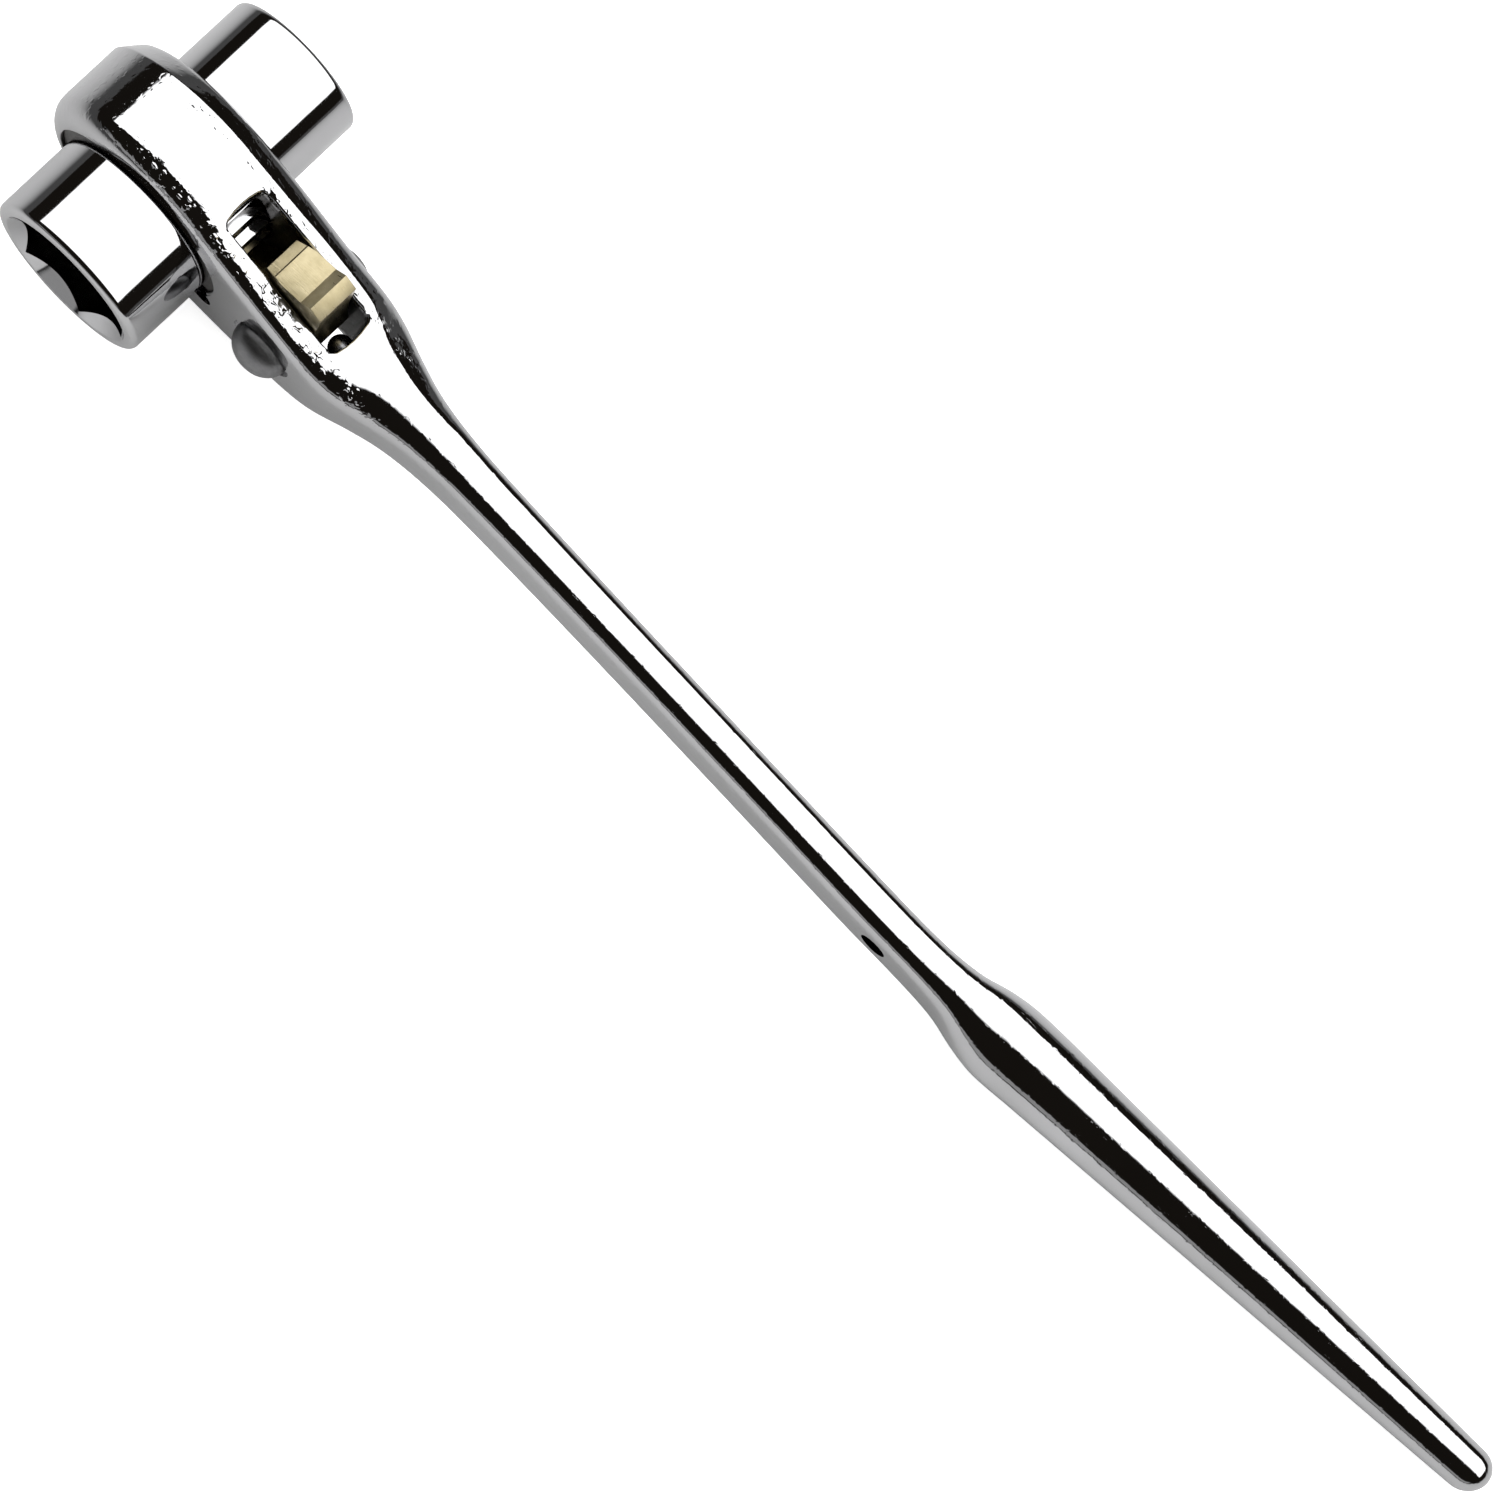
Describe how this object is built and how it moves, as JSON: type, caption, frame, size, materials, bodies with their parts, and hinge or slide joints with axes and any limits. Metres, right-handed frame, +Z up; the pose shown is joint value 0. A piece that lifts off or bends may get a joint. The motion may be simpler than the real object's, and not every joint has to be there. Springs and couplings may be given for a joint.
{
  "type": "ratchet wrench",
  "caption": "Reversible scaffold ratchet wrench: double-ended hex socket in a round head, rocking pawl in a slotted neck, slim handle ending in a podger spike.",
  "frame": {"origin": "centre of the bounding box in X and Y, on the surface the wrench lies on", "axes": "+X from the head to the spike's tip, +Y along the socket axis to the smaller socket, +Z up out of the pawl window"},
  "size_m": [0.3194, 0.0518, 0.0431],
  "materials": {
    "forged_chrome": "bright chrome plate over a forging",
    "socket_chrome": "bright chrome plate over a turned barrel",
    "nickel_pawl": "satin nickel with a warm tint",
    "rivet_steel": "dull peened steel",
    "spring_steel": "oiled spring steel"
  },
  "bodies": {
    "handle": {"forged_body": "forged_chrome", "cover_washer": "spring_steel", "retaining_ring": "spring_steel", "pawl_rivet": "rivet_steel", "plunger_spring": "spring_steel"},
    "socket": {"double_socket": "socket_chrome"},
    "pawl": {"pawl": "nickel_pawl"},
    "plunger": {"plunger": "spring_steel"}
  },
  "joints": [
    {"name": "socket_spin", "type": "hinge", "parent": "handle", "child": "socket", "pos_m": [-0.13825, -0.00095, 0.02164], "axis": [0, 1, 0], "continuous": true},
    {"name": "pawl_rock", "type": "hinge", "parent": "handle", "child": "pawl", "pos_m": [-0.1091, -0.00095, 0.01988], "axis": [0, 1, 0], "range_deg": [-34.3, 0]},
    {"name": "plunger_slide", "type": "slide", "parent": "handle", "child": "plunger", "axis": [0.9982, 0, -0.0601], "range_m": [-0.0004, 0.001], "stiffness_N_per_m": 600, "deforming": ["plunger_spring"]}
  ]
}
